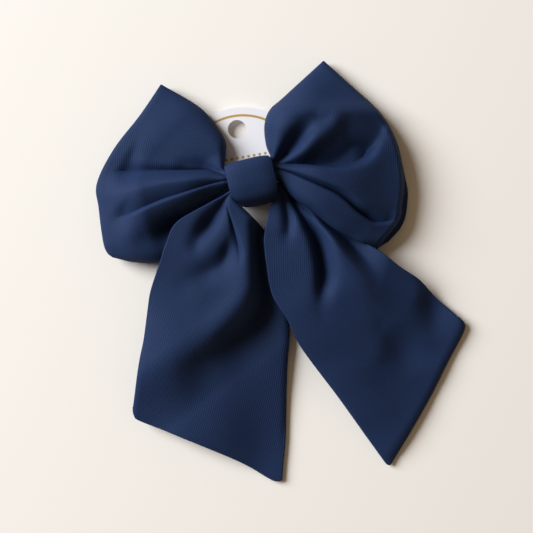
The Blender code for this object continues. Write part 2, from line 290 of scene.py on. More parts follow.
def add_mesh(name, points, faces, uvs, material):
    """Smooth mesh object from points in mm, with a UV map of the cloth's own millimetres."""
    mesh = bpy.data.meshes.new(name)
    points = (np.asarray(points, float) - (0.0, BACK, 0.0)) * MM
    mesh.from_pydata(points.tolist(), [], faces)
    layer = mesh.uv_layers.new(name="cloth")
    corner = np.zeros(len(mesh.loops), np.int32)
    mesh.loops.foreach_get("vertex_index", corner)
    layer.data.foreach_set("uv", np.asarray(uvs, np.float32)[corner].ravel())
    mesh.shade_smooth()
    obj = bpy.data.objects.new(name, mesh)
    bpy.context.scene.collection.objects.link(obj)
    mesh.materials.append(material)
    return obj


def cloth_object(name, mid, material, rib_along_v=True, rim_steps=5):
    """Closed cloth with rounded edges round a middle surface, seen side first."""
    rows, cols = mid.shape[:2]
    normals = normals_of(mid)
    out_u = unit(np.gradient(mid, axis=0))
    out_v = unit(np.gradient(mid, axis=1))
    half = CLOTH / 2
    runs = [arc(mid, 0), arc(mid, 1)]
    uv = np.stack(runs if rib_along_v else runs[::-1], axis=2)
    layers = [mid - normals * half, mid + normals * half]
    points = [layer.reshape(-1, 3) for layer in layers]
    uvs = [uv.reshape(-1, 2)] * 2
    back = rows * cols
    grid = np.arange(back).reshape(rows, cols)
    a, b, c, d = grid[:-1, :-1], grid[1:, :-1], grid[1:, 1:], grid[:-1, 1:]
    faces = [np.stack([a, d, c, b], axis=-1).reshape(-1, 4),
             np.stack([a, b, c, d], axis=-1).reshape(-1, 4) + back]
    border = ([(i, 0) for i in range(rows)] + [(rows - 1, j) for j in range(1, cols)]
              + [(i, cols - 1) for i in range(rows - 2, -1, -1)] + [(0, j) for j in range(cols - 2, 0, -1)])
    i, j = np.array(border).T
    side_u = (i == rows - 1) * 1.0 - (i == 0)
    side_v = (j == cols - 1) * 1.0 - (j == 0)
    outward = unit(out_u[i, j] * side_u[:, None] + out_v[i, j] * side_v[:, None])
    rings = [grid[i, j]]
    total = 2 * back
    for k in range(1, rim_steps):
        angle = math.pi * k / rim_steps
        points.append(mid[i, j] + half * (outward * math.sin(angle) - normals[i, j] * math.cos(angle)))
        uvs.append(uv[i, j])
        rings.append(np.arange(total, total + len(i)))
        total += len(i)
    rings.append(grid[i, j] + back)
    for low, high in zip(rings[:-1], rings[1:]):
        faces.append(np.stack([low, np.roll(low, -1), np.roll(high, -1), high], axis=-1))
    return add_mesh(name, np.concatenate(points), np.concatenate(faces).tolist(),
                    np.concatenate(uvs), material)


# --- loops -----------------------------------------------------------------------------------

ROUND = 0.045          # share of a loop's length over which the front layer rounds down to the fold
FINE = 0.88            # share of its length from which the back layer has finer rows
U_FRONT = np.concatenate([np.linspace(0, 1 - ROUND, 130, endpoint=False),
                          1 - ROUND + ROUND * np.sin(np.linspace(0, math.pi / 2, 26))])
U_BACK = np.concatenate([np.linspace(0, FINE, 60, endpoint=False), np.linspace(FINE, 1, 22)])
LOOP_COLUMNS = 34      # columns between every two guides
FOLD_STEPS = 8         # steps of the quarter turn from the front layer to the back one
LOOP_EDGE = 1.3        # how much higher than the floor a loop's front layer stays
LOOP_PLEATS, PLEATS_END = 2.6, 0.4  # depth of the gathers at the knot, and where they have faded out
LOOP_RIPPLE, LOOP_WAVE = 0.18, 17   # height and length of the ripples of a loop


def to_fold(u):
    """1 over a loop's front layer, rounding down to 0 at the fold."""
    return np.sqrt(1 - (np.clip(u - 1 + ROUND, 0, ROUND) / ROUND) ** 2)


def inset(outline, share=0.975):
    """The outline drawn in towards the knot a little, for a layer that must stay out of sight."""
    return [(x * share, z * share) for x, z in outline]


def spread(u_at, v_at):
    """u and v at every point of a sheet."""
    return u_at[:, None] * np.ones_like(v_at), v_at * np.ones((len(u_at), 1))


def surface(grid, height):
    """Points of a sheet from its in-plane grid and its height."""
    return np.stack([grid[..., 0], -height, grid[..., 1]], axis=2)


def loop_object(name, front_guides, front_fold, back_guides, back_fold, front_depth, back_depth, material):
    """A loop as one sheet: front layer out to the fold, round it, and the back layer to the knot."""
    places = places_on(front_fold, front_guides)
    v_at = columns_between(places, LOOP_COLUMNS)
    front = flat_grid(front_guides, front_fold, U_FRONT, v_at)
    front_height = front_depth(front, *spread(U_FRONT, v_at), places)
    front = surface(front, front_height)
    back = flat_grid(back_guides, back_fold, U_BACK, v_at)
    back = surface(back, back_depth(back, *spread(U_BACK, v_at)))
    start, finish = front[-1], back[-1]
    turn = []
    for angle in np.linspace(0, math.pi / 2, FOLD_STEPS + 1)[1:-1]:
        row = finish + (start - finish) * math.cos(angle)
        row[:, 1] = start[:, 1] + (finish - start)[:, 1] * math.sin(angle)
        turn.append(row)
    return cloth_object(name, np.concatenate([front, turn, back[::-1]]), material)


LEFT_TOP = [(-5, 3.6), (-8.6, 4.2), (-10.4, 7.6), (-9.2, 12.5), (-8.2, 19.0), (-11.9, 27.9), (-17.3, 35.5),
            (-30.2, 46.4)]
LEFT_A = [(-5, 3.0), (-10, 3.6), (-13.4, 5.3), (-17.3, 7.3), (-24.3, 8.7), (-36.5, 11.1), (-50, 13.6),
          (-61.6, 14.8)]
LEFT_B = [(-5, 1.4), (-10, 1.2), (-15.5, 0.6), (-21.6, 0), (-29.3, -0.8), (-36.7, -1.6), (-45.4, -3.4),
          (-53, -4.8), (-64.4, -6)]
LEFT_C = [(-5, -0.2), (-10, -0.6), (-18.1, -4.4), (-27.5, -9.5), (-38.8, -13.9), (-50, -16.8), (-65, -16.6)]
LEFT_END = [(-5, -1.6), (-9.9, -2.4), (-16, -8.0), (-24, -16.0), (-33, -22.6), (-43, -26.4), (-54, -24.4),
            (-62.6, -20.8)]
LEFT_FOLD = [(-30.2, 46.4), (-40.2, 36.0), (-54.2, 23.2), (-63.6, 10.4), (-64.6, 0.4), (-65.2, -13.8),
             (-64.4, -18.6), (-62.6, -20.8)]
LEFT_HOLLOW = [(-11, -2.4), (-14, -4.1), (-20.3, -7.7), (-28.4, -11), (-36.0, -14.0), (-42.5, -16.0),
               (-46.5, -16.2)]
LEFT_DIMPLE = [(-54, 17.4), (-49.5, 14.6), (-43.5, 12.8)]
LEFT_POCKET = [(-10, 5.2), (-14.5, 7.0), (-22, 9.4), (-32, 10.8)]
LEFT_CRESCENT = [(-58.7, -0.9), (-55.6, -4.3), (-51.1, -5.6)]
LEFT_LOW = -5.0        # height at the outer fold


def settled(height, grid, u, v, places, seed):
    """Height of a loop's front with its gathers and ripples, kept above what it lies on."""
    x, z = grid[..., 0], grid[..., 1]
    height = height + pleats(u, v, places, LOOP_PLEATS, PLEATS_END)
    height += LOOP_RIPPLE * ripple(x, z, LOOP_WAVE, seed)
    return rest_on(height, lowest(x, z) + LOOP_EDGE * (1 - step(0.85, 1, u)))


def back_depth(grid, u, v, gathers):
    """Height of a loop's back: it falls from the knot to what it lies on, and is gathered at the knot."""
    waves = 0.4 * (1 + np.cos(v * gathers)) * along(u, (0, 1), (0.4, 0.6), (0.8, 0))
    return np.maximum(lowest(grid[..., 0], grid[..., 1]), along(u, (0, -1.2), (0.25, -9.4))) + waves


def left_front_depth(grid, u, v, places):
    """Height of the left loop's front: a flat top panel, a full middle, and a hollow under it."""
    x, z = grid[..., 0], grid[..., 1]
    edge = along(u, (0, 2.5), (0.12, -1.0), (0.25, -4.8), (0.6, -5.5), (1, -5.4))
    top = along(u, (0, 4.6), (0.14, 1.4), (0.3, 0.2), (0.68, -0.8), (1.06, -4.4))
    main = along(u, (0, 4.6), (0.12, 6.8), (0.35, 8.8), (0.66, 6.8), (1.06, -4.2))
    rise = places[1] + 0.6 * (places[2] - places[1])
    height = top + (main - top) * step(places[1] - 0.02, rise, v)
    height -= step(places[2], places[3], v) * along(u, (0, 0), (0.3, 4.6), (0.6, 3.68), (0.9, 0))
    height = edge + (height - edge) * dome(v, 0.14, 0.10)
    hollows = groove(x, z, LEFT_HOLLOW, ((0, 2.5), (0.3, 6.0), (0.65, 9.4), (1, 2.0)), 5.2, 4.8)
    hollows += groove(x, z, LEFT_DIMPLE, ((0, 0.5), (0.5, 2.6), (1, 0.8)), 8.5, 6.5)
    hollows += groove(x, z, LEFT_CRESCENT, ((0, 0.3), (0.6, 2.2), (1, 0.8)), 6.0, 4.5)
    hollows += groove(x, z, LEFT_POCKET, ((0, 0.6), (0.35, 2.6), (0.7, 2.0), (1, 0.4)), 1.6, 3.8)
    height -= soften(hollows, u, v, 0.02, 0.012)
    height = LEFT_LOW + (height - LEFT_LOW) * to_fold(u)
    upper = along(u, (0, 1.6), (0.15, 2.8), (0.5, 2.8), (0.75, 2.2), (0.92, 0))
    lap = along(u, (0, 0.1), (0.2, 0.6), (0.5, 0.3), (0.75, 0))
    crease(height, grid, v, places, 1, upper, 0.14, 0.12, lap)
    lower = along(u, (0, 1.6), (0.15, 3.0), (0.5, 3.6), (0.75, 2.6), (0.9, 0))
    lap = along(u, (0, 0.1), (0.2, 0.9), (0.6, 0.7), (0.8, 0))
    crease(height, grid, v, places, 2, lower, 0.5, 0.2, lap)
    return settled(height, grid, u, v, places, 1.3)


def left_back_depth(grid, u, v):
    return back_depth(grid, u, v, gathers=26)


RIGHT_TOP = [(5, 5.6), (8.9, 6.6), (10.2, 8.8), (9.3, 14), (10.0, 22), (13.2, 28), (20, 32.4), (38.9, 44.6)]
RIGHT_D = [(5, 4.8), (9.9, 5.9), (14, 9.8), (17.7, 14.2), (20.9, 17.9), (26, 21.5), (36, 27), (50.4, 30.2)]
RIGHT_F = [(5, 3.6), (10.2, 4.6), (15, 3.7), (22.8, 2.3), (33.8, -0.5), (39.5, -1.3), (46, -0.8), (54, 2.4),
           (62.9, 6.2)]
RIGHT_G = [(5, 1.8), (10.6, 2.4), (16.4, -0.4), (21.7, -3.8), (27.8, -7.9), (33.5, -11.8), (37.1, -15.4),
           (40.8, -20.3), (44.5, -23.5), (49.1, -26), (58.2, -26.4)]
RIGHT_END = [(5, -0.9), (11, -1.2), (13.5, -5.5), (17.2, -10.6), (23.3, -16.8), (29.2, -23.6),
             (33.9, -27.8), (40.3, -32.4), (47.4, -36.2)]
RIGHT_FOLD = [(38.9, 44.6), (50.4, 29.8), (56, 22.6), (60.2, 15.2), (63.0, 5.6), (63.6, -4.1),
              (62.8, -12.6), (60.4, -20.5), (57.9, -26.9), (47.4, -36.2)]
RIGHT_FOLD_BACK = [(38.2, 43.7), (49.4, 29.0), (54.9, 21.8), (58.9, 14.8), (61.9, 5.6), (63.6, -1.5),
                   (64.4, -6.7), (64.4, -13.5), (63.4, -19.5), (61.6, -25.2), (58.2, -30.2), (53.8, -33.6),
                   (47.6, -37.0)]
RIGHT_BACK_END = [(5, -0.8), (11, 0.6), (17.2, -4.6), (23.3, -10.2), (31, -16.6), (39, -24.6),
                  (44.5, -31.6), (47.6, -37.0)]
RIGHT_HOLLOW = [(12, 5.0), (14.3, 6.8), (19.2, 10.6), (23.2, 14.1), (27.3, 18.0), (30.5, 20.6)]
RIGHT_TONGUE = [(12.2, 4.6), (17.8, 6.4), (23.0, 8.2), (29.6, 12.1), (35.2, 14.9), (39.1, 18.1)]
RIGHT_BASIN = [(12.5, 4.6), (19.8, 3.0), (26.3, 1.9), (33.8, 0.5), (40.7, 0.4), (46.7, 1.8), (51.5, 4.6),
               (56.5, 9.6)]
RIGHT_RIDGE = [(10, 27.6), (26.2, 26.3), (42.7, 23.8), (58.2, 20.6)]


def right_front_depth(grid, u, v, places):
    """Height of the right loop's front: a tip bent down over a ridge, and a deep basin under it."""
    x, z = grid[..., 0], grid[..., 1]
    top_edge = along(u, (0, 2.5), (0.12, -0.5), (0.3, -4.6), (0.5, -5.4), (1, -6.6))
    low_edge = along(u, (0, 2.5), (0.15, 2.0), (0.6, 1.0), (0.85, 0.0), (1, -4.2))
    edge = top_edge + (low_edge - top_edge) * step(0.5, 0.9, v)
    height = along(u, (0, 4.6), (0.12, 5.8), (0.4, 8.6), (1.1, -1.4))
    height -= 3.2 * step(-3, 4, z - 27.6 + 0.145 * (x - 10))
    height -= step(places[3], 1, v) * along(u, (0, 0), (0.3, 1.5), (0.7, 0.9), (1, 0))
    height = edge + (height - edge) * dome(v, 0.2, 0.06)
    hollows = -groove(x, z, RIGHT_RIDGE, ((0, 0), (0.2, 1.4), (0.8, 2.4), (1, 1.6)), 4.0, 5.0)
    hollows += groove(x, z, RIGHT_HOLLOW, ((0, 2.0), (0.25, 5.5), (0.5, 6.8), (1, 1.0)), 4.4, 3.2)
    hollows -= groove(x, z, RIGHT_TONGUE, ((0, 0.8), (0.5, 2.2), (1, 2.6)), 3.0, 3.2)
    basin = ((0, 3.0), (0.12, 5.6), (0.35, 9.4), (0.7, 9.8), (1, 2.0))
    hollows += groove(x, z, RIGHT_BASIN, basin, 9.0, 1.6, power=1.5)
    height -= soften(hollows, u, v, 0.015, 0.008)
    fold = -7.0 + 1.6 * step(0.6, 1, v)
    height = fold + (height - fold) * to_fold(u)
    upper = along(u, (0, 1.6), (0.15, 2.2), (0.5, 1.8), (0.7, 1.0), (0.85, 0))
    lap = along(u, (0, 0.1), (0.2, 0.8), (0.6, 0.8), (0.85, 0))
    crease(height, grid, v, places, 2, upper, 0.10, 0.10, lap)
    lower = along(u, (0, 1.6), (0.15, 3.8), (0.5, 7.6), (0.75, 7.6), (0.9, 2.4), (1, 0.4))
    lap = along(u, (0, 0.1), (0.2, 0.8), (0.7, 1.0), (0.9, 0))
    crease(height, grid, v, places, 3, lower, 0.27, 0.18, lap)
    return settled(height, grid, u, v, places, 2.1)


def right_back_depth(grid, u, v):
    return back_depth(grid, u, v, gathers=24) + 3.0 * step(0.6, 1, v) * step(0.5, 1, u)


# --- tails -----------------------------------------------------------------------------------

U_TAIL = np.linspace(0, 1, 260) ** 1.25    # finer rows near the knot
TAIL_COLUMNS = 36                          # columns between every two guides
TAIL_RIPPLE, TAIL_WAVE = 0.25, 24          # height and length of the ripples of a tail
RIGHT_TAIL_RUN = 110                       # length of the right tail

LT_LEFT = [(-6.5, -2.2), (-10, -3.6), (-14, -5.2), (-20, -7.2), (-33.0, -12.2), (-38.8, -20.0),
           (-42.9, -27.7), (-48.5, -37.9), (-51.1, -44.9), (-55.1, -57.3), (-58.5, -66.0), (-65.2, -85.0)]
LT_MIDDLE = [(-6.5, -3.2), (-9.9, -5.8), (-12.8, -11), (-17, -18), (-22, -28), (-26, -40), (-33, -62),
             (-44, -101.6)]
LT_CREASE = [(-6.5, -3.6), (-9.4, -5.0), (-11.0, -9.4), (-10.2, -15.8), (-9.7, -21.5), (-9.8, -28.0),
             (-11.0, -36), (-14, -60), (-19, -90), (-23.5, -116.2)]
LT_RIGHT = [(-6.5, -4.2), (-8.6, -6.2), (-5.4, -11.0), (-2.4, -15.2), (1.3, -21.0), (4.0, -31), (5.2, -42),
            (4.9, -62.7), (1.8, -76.6), (-0.2, -85.6), (-4.7, -108.2), (-8.2, -121.5), (-9.3, -126.2)]
LT_END = [(-65.2, -85.0), (-65.4, -88.0), (-63.4, -90.6), (-50.7, -98.2), (-35.6, -107.8), (-24.0, -116.0),
          (-14.3, -124.4), (-11.2, -126.2), (-9.3, -126.2)]
LT_HOLLOW = [(-10, -4.6), (-12.1, -6.1), (-15.6, -10.1), (-20.6, -14.9), (-24.6, -18.8), (-26.9, -21.7)]
LT_BAG = [(-11.7, -20.1), (-14.2, -26.2), (-17.4, -31.3), (-22.5, -33.6), (-30.3, -35.5), (-34.4, -37.6)]
LT_RIDGE = [(-7.4, -11.6), (-5.9, -21.2), (-6.4, -31.3), (-8.3, -40.3), (-13.8, -50.1), (-22.1, -57.5),
            (-31.8, -65.1), (-42.0, -69.9)]
LT_SLOPE = 0.523       # how steeply the fold across the left tail rises to the right
LT_VALLEY = [(-0.4, -19.3), (-1.4, -29.4), (-1.9, -38.7), (-1.9, -46.1), (-4.2, -54.1), (-10.5, -60.5),
             (-20.0, -65.0), (-30.0, -69.6), (-39.5, -73.0), (-47, -74.5)]

RT_LEFT = [(7.0, -3.4), (9.9, -5.0), (8.2, -8.4), (6.6, -11.4), (3.9, -18.0), (1.5, -25.4), (0.7, -36.8),
           (1.0, -48.5), (5.4, -59.7), (9.0, -71.9), (21.0, -96.1), (29.5, -113.9), (35.4, -125.3)]
RT_MIDDLE = [(6.8, -3.2), (11.4, -4.8), (14.4, -9), (17.6, -18), (19.6, -28), (19.4, -38), (22, -56),
             (31, -80), (46.5, -117)]
RT_INNER = [(6.5, -3.0), (12.6, -4.2), (17.6, -11), (23.0, -20), (28, -31), (34, -42.5), (42, -57),
            (62, -98.4)]
RT_RIGHT = [(6.5, -2.4), (13, -3.4), (23, -12), (35, -24.5), (43.2, -34.4), (48.8, -39.5), (55.1, -46.4),
            (62.1, -52.9), (66.8, -59.5), (72.4, -66.9), (77.4, -73.2)]
RT_END = [(35.4, -125.3), (36.0, -127.4), (37.4, -127.6), (39.1, -125.5), (47.5, -115.9), (59.3, -101.7),
          (68.4, -89.4), (76.0, -79.7), (78.2, -76.1), (78.2, -74.4), (77.4, -73.2)]
RT_HOLLOW = [(10.6, -4.4), (11.8, -6.6), (12.5, -9.9), (12.7, -15.7), (12.2, -21.5), (10.4, -26.9)]
RT_WEDGE = [(13, -4.4), (14.2, -5.8), (16.0, -11.7), (19.3, -19.2), (22.5, -27.3), (23.3, -35),
            (23.0, -43.1), (20.7, -52), (18.9, -57.5)]
RT_RIDGE = [(15.7, -7), (19.0, -14.5), (23.8, -23.5), (28.5, -33), (33.7, -42.7), (39.2, -51.2),
            (45.3, -56.3), (51.1, -62.6)]
RT_STRIP = [(13.4, -5.6), (15.3, -8.6), (20.8, -16.4), (26.7, -22.8), (32.6, -28.6), (38, -32)]
RT_EDGE_DIMPLE = [(64.0, -52.3), (66.4, -59.7), (67.1, -69.1), (66.5, -80.9)]
RT_LOW_DIMPLE = [(43.1, -69.5), (50.3, -80.7), (53.8, -93.7)]


def tail_object(name, guides, end, depth, material):
    """A tail as one sheet from the knot to its slanted end."""
    places = places_on(end, guides)
    v_at = columns_between(places, TAIL_COLUMNS)
    grid = flat_grid(guides, end, U_TAIL, v_at)
    height = depth(grid, *spread(U_TAIL, v_at), places)
    return cloth_object(name, surface(grid, height), material, rib_along_v=False)


def curl(inside, reach, drop):
    """How far a soft edge bends down, at a distance inside it, when it bends within reach."""
    return drop * (1 - np.sqrt(1 - np.clip(1 - inside / reach, 0, 1) ** 2))


def left_tail_depth(grid, u, v, places):
    """Height of the left tail: a slanted fold across it, with a long valley inside the fold."""
    x, z = grid[..., 0], grid[..., 1]
    below = (LT_SLOPE * (x + 20) - (z + 66.7)) / math.hypot(1, LT_SLOPE)
    run = arc(grid, 1)
    height = 5.6 - 8.6 * step(-16, 12, below) - 4.0 * step(12, 60, below)
    height -= 3.2 * step(0.5, 1, v) * step(-50, -80, z)
    height -= 5.0 * (1 - np.clip(v / 0.4, 0, 1)) ** 2 * step(-22, -50, z)
    height -= 2.4 * (1 - step(0, 0.5, v)) * step(-66, -86, z)
    hollows = groove(x, z, LT_VALLEY, ((0, 8.8), (0.4, 8.8), (0.6, 5.8), (0.8, 3.0), (1, 0.0)), 9.5, 4.8)
    hollows -= groove(x, z, LT_RIDGE, ((0, 0), (0.3, 1.2), (0.6, 2.4), (1, 0)), 5.0, 6.0)
    hollows += groove(x, z, LT_HOLLOW, ((0, 1.5), (0.3, 3.6), (0.6, 5.6), (1, 2.0)), 3.2, 3.2)
    hollows += groove(x, z, LT_BAG, ((0, 0.5), (0.3, 3.4), (0.6, 2.8), (1, 0.6)), 4.5, 4.0)
    height -= curl(run[:, -1:] - run, 3.0, 1.6)
    height -= soften(hollows, u, v, 0.012, 0.02)
    fold = along(u, (0, 0.3), (0.05, 1.4), (0.12, 2.8), (0.2, 2.8), (0.3, 0))
    lap = along(u, (0, 0.1), (0.05, 0.6), (0.15, 0.9), (0.25, 0))
    crease(height, grid, v, places, 2, fold, 0.35, 0.2, lap)
    height += TAIL_RIPPLE * ripple(x, z, TAIL_WAVE, 0.7)
    return rest_on(height, lowest(x, z))


def right_tail_depth(grid, u, v, places):
    """Height of the right tail: it falls to its outer corner, with a wedge-shaped fold from the knot."""
    x, z = grid[..., 0], grid[..., 1]
    outwards = 0.8 * (x - 22) - 0.6 * (z + 40)
    height = 1.2 + 2.0 * step(-8, -22, z) - 10.5 * step(-2, 75, outwards)
    height -= 3.0 * (1 - np.clip(v / 0.25, 0, 1)) ** 2 * step(-50, -80, z)
    hollows = groove(x, z, RT_HOLLOW, ((0, 1.0), (0.3, 3.0), (0.6, 3.6), (0.85, 2.0), (1, 0.5)), 2.4, 2.2)
    hollows += groove(x, z, RT_WEDGE, ((0, 2.5), (0.2, 6.0), (0.5, 9.0), (0.7, 7.5), (1, 0.5)), 4.0, 2.6)
    hollows -= groove(x, z, RT_RIDGE, ((0, 0.5), (0.3, 2.0), (0.7, 2.2), (1, 0)), 6.0, 6.0)
    hollows += groove(x, z, RT_STRIP, ((0, 1.5), (0.5, 2.4), (1, 0)), 1.6, 1.6)
    hollows += groove(x, z, RT_EDGE_DIMPLE, ((0, 1.4), (0.5, 3.6), (1, 0.8)), 8.0, 6.6)
    hollows += groove(x, z, RT_LOW_DIMPLE, ((0, 0.5), (0.5, 2.4), (1, 0.5)), 10.0, 8.0)
    height -= curl((1 - u) * RIGHT_TAIL_RUN, 4.0, 2.0)
    height -= soften(hollows, u, v, 0.008, 0.01)
    under_loop = along(u, (0, 1.92), (0.06, 6.4), (0.2, 6.4), (0.4, 7.04), (0.6, 0))
    height -= step(0.6, 0.85, v) * under_loop
    height += TAIL_RIPPLE * ripple(x, z, TAIL_WAVE, 1.9)
    return rest_on(height, lowest(x, z))


# --- centre wrap -----------------------------------------------------------------------------

# Section of the wrap, clockwise from the back, seen from the left: depth, height, left edge, right edge
WRAP = [(6.4, 0.0, -8.5, 8.5), (5.9, 6.8, -9.0, 8.8), (-1.5, 8.4, -9.4, 8.6), (-7.4, 8.2, -9.4, 8.7),
        (-9.5, 6.0, -9.4, 9.5), (-10.0, 1.5, -9.1, 9.8), (-9.5, -3.0, -8.8, 10.0), (-7.6, -7.2, -7.6, 9.3),
        (-3.4, -9.6, -5.2, 7.1), (1.5, -10.2, -5.2, 7.0), (5.6, -8.2, -7.0, 8.0), (6.4, -4.0, -8.3, 8.5)]


WRAP_ROWS, WRAP_COLUMNS = 201, 61


def wrap_object(material):
    """Strip round the gathered middle, narrower underneath, pinched in at its two edges."""
    half = 600
    ring = spline(WRAP[-3:] + WRAP + WRAP[:3], 2 * half + 1)
    first = nearest(ring[:half], WRAP[0])
    last = half + nearest(ring[half:], WRAP[0])
    ring = ring[np.round(np.linspace(first, last, WRAP_ROWS)).astype(int)]
    across = np.linspace(-1, 1, WRAP_COLUMNS)[None]
    y, z, left, right = (ring[:, k:k + 1] for k in range(4))
    x = (left + right) / 2 + across * (right - left) / 2
    pinch = 0.10 * across ** 4 + 0.06 * across ** 2
    z = z * (1 - 0.5 * pinch) + 0.07 * x * step(-6, 6, z)
    y = y * (1 - pinch * step(6, 0, y))
    return cloth_object("wrap_strip", np.stack([x, y, z], axis=2), material, rib_along_v=False)


# --- materials -------------------------------------------------------------------------------

def new_material(name):
    material = bpy.data.materials.new(name)
    material.use_nodes = True
    tree = material.node_tree
    return material, tree, tree.nodes["Principled BSDF"]


def link(tree, source, target):
    tree.links.new(source, target)


def math_node(tree, operation, *values):
    """Output of a math node whose inputs are numbers or other nodes' outputs."""
    node = tree.nodes.new("ShaderNodeMath")
    node.operation = operation
    for socket, value in zip(node.inputs, values):
        if isinstance(value, (int, float)):
            socket.default_value = value
        else:
            link(tree, value, socket)
    return node.outputs[0]


def plus(tree, a, b):
    return math_node(tree, "ADD", a, b)


def times(tree, a, b):
    return math_node(tree, "MULTIPLY", a, b)


def distance(tree, a, b):
    """Length of the vector (a, b)."""
    return math_node(tree, "SQRT", plus(tree, times(tree, a, a), times(tree, b, b)))


def color_mix(tree, blend, share, first, second):
    """Output of a node that blends a color with another color or with a node's output."""
    node = tree.nodes.new("ShaderNodeMix")
    node.data_type = "RGBA"
    node.blend_type = blend
    factor, a, b = node.inputs[0], node.inputs[6], node.inputs[7]
    a.default_value = (*first, 1)
    if isinstance(second, tuple):
        b.default_value = (*second, 1)
    else:
        link(tree, second, b)
    if isinstance(share, float):
        factor.default_value = share
    else:
        link(tree, share, factor)
    return node.outputs[2]


def twill(name, navy=(0.0133, 0.0284, 0.0835)):
    """Navy ribbed twill: fine ribs across the cloth, faint mottling, little sheen."""
    rib_tilt = 0.12
    rib_share = 0.62
    contrast, mottling, darkest = 0.16, 0.34, 0.83
    material, tree, shader = new_material(name)
    coords = tree.nodes.new("ShaderNodeUVMap")
    coords.uv_map = "cloth"
    parts = tree.nodes.new("ShaderNodeSeparateXYZ")
    link(tree, coords.outputs[0], parts.inputs[0])
    x, y = parts.outputs[0], parts.outputs[1]
    slant = plus(tree, x, times(tree, y, rib_tilt))
    rib = math_node(tree, "SINE", times(tree, slant, 2 * math.pi / RIB))
    diagonal = math_node(tree, "SUBTRACT", y, x)
    pick = math_node(tree, "SINE", times(tree, diagonal, 2 * math.pi / PICK))
    weave = plus(tree, times(tree, rib, rib_share), times(tree, pick, 1 - rib_share))
    mottle = tree.nodes.new("ShaderNodeTexNoise")
    mottle.inputs["Scale"].default_value = 0.9
    mottle.inputs["Detail"].default_value = 5.0
    link(tree, coords.outputs[0], mottle.inputs["Vector"])
    shade = plus(tree, times(tree, weave, contrast), times(tree, mottle.outputs["Fac"], mottling))
    combine = tree.nodes.new("ShaderNodeCombineXYZ")
    gain = plus(tree, shade, darkest)
    for socket in combine.inputs:
        link(tree, gain, socket)
    link(tree, color_mix(tree, "MULTIPLY", 1.0, navy, combine.outputs[0]), shader.inputs["Base Color"])
    bump = tree.nodes.new("ShaderNodeBump")
    bump.inputs["Strength"].default_value = 0.32
    bump.inputs["Distance"].default_value = 0.15 * MM
    link(tree, weave, bump.inputs["Height"])
    link(tree, bump.outputs[0], shader.inputs["Normal"])
    shader.inputs["Roughness"].default_value = 0.66
    shader.inputs["Specular IOR Level"].default_value = 0.10
    return material


def plain(name, color, roughness, metallic=0.0):
    """One color with a slightly uneven roughness."""
    unevenness = 0.2
    material, tree, shader = new_material(name)
    noise = tree.nodes.new("ShaderNodeTexNoise")
    noise.inputs["Scale"].default_value = 900.0
    coords = tree.nodes.new("ShaderNodeTexCoord")
    link(tree, coords.outputs["Object"], noise.inputs["Vector"])
    uneven = times(tree, noise.outputs["Fac"], unevenness)
    link(tree, plus(tree, uneven, roughness - unevenness / 2), shader.inputs["Roughness"])
    shader.inputs["Base Color"].default_value = (*color, 1)
    shader.inputs["Metallic"].default_value = metallic
    return material


def card_paper(white=(0.88, 0.88, 0.94), gold=(0.50, 0.32, 0.10)):
    """White card with a thin gold ring near its rim and a row of small gold dots above the knot."""
    material, tree, shader = new_material("card_paper")
    coords = tree.nodes.new("ShaderNodeTexCoord")
    parts = tree.nodes.new("ShaderNodeSeparateXYZ")
    link(tree, coords.outputs["Object"], parts.inputs[0])
    x = math_node(tree, "SUBTRACT", parts.outputs[0], CARD_X * MM)
    z = math_node(tree, "SUBTRACT", parts.outputs[2], CARD_Z * MM)
    off_ring = math_node(tree, "ABSOLUTE", math_node(tree, "SUBTRACT", distance(tree, x, z), RING_R * MM))
    ring = math_node(tree, "LESS_THAN", off_ring, RING_WIDTH / 2 * MM)
    cell = math_node(tree, "FRACT", math_node(tree, "DIVIDE", x, DOT_PITCH * MM))
    across = times(tree, math_node(tree, "SUBTRACT", cell, 0.5), DOT_PITCH * MM)
    up = math_node(tree, "SUBTRACT", z, DOTS_Z * MM)
    dots = math_node(tree, "LESS_THAN", distance(tree, across, up), DOT_R * MM)
    printed = math_node(tree, "MAXIMUM", ring, dots)
    link(tree, color_mix(tree, "MIX", printed, white, gold), shader.inputs["Base Color"])
    shader.inputs["Roughness"].default_value = 0.55
    return material


# --- the pieces ------------------------------------------------------------------------------

def ride_bow(obj, cad_node):
    """Fixes a cloth piece to the bow in place of its CAD solid."""
    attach(obj, "bow")
    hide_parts(cad_node)


def bend(obj, cad_node):
    """Bakes a piece's placement into its mesh, in place of its CAD solid."""
    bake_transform(obj)
    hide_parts(cad_node)


def dress(obj, material):
    """Makes a material an object's only one."""
    obj.data.materials.clear()
    obj.data.materials.append(material)


def make_loops(cloth):
    left = loop_object("left_loop", [LEFT_TOP, LEFT_A, LEFT_B, LEFT_C, LEFT_END], LEFT_FOLD,
                       [LEFT_TOP, LEFT_A, LEFT_END], inset(LEFT_FOLD),
                       left_front_depth, left_back_depth, cloth)
    right = loop_object("right_loop", [RIGHT_TOP, RIGHT_D, RIGHT_F, RIGHT_G, RIGHT_END], RIGHT_FOLD,
                        [RIGHT_TOP, RIGHT_F, RIGHT_BACK_END], RIGHT_FOLD_BACK,
                        right_front_depth, right_back_depth, cloth)
    for loop in (left, right):
        ride_bow(loop, "loop_band")


def make_tails(cloth):
    left = tail_object("left_tail_cloth", [LT_LEFT, LT_MIDDLE, LT_CREASE, LT_RIGHT], LT_END,
                       left_tail_depth, cloth)
    bend(left,
         "left_tail")
    right = tail_object("right_tail_cloth", [RT_LEFT, RT_MIDDLE, RT_INNER, RT_RIGHT], RT_END,
                        right_tail_depth, cloth)
    bend(right,
         "right_tail")


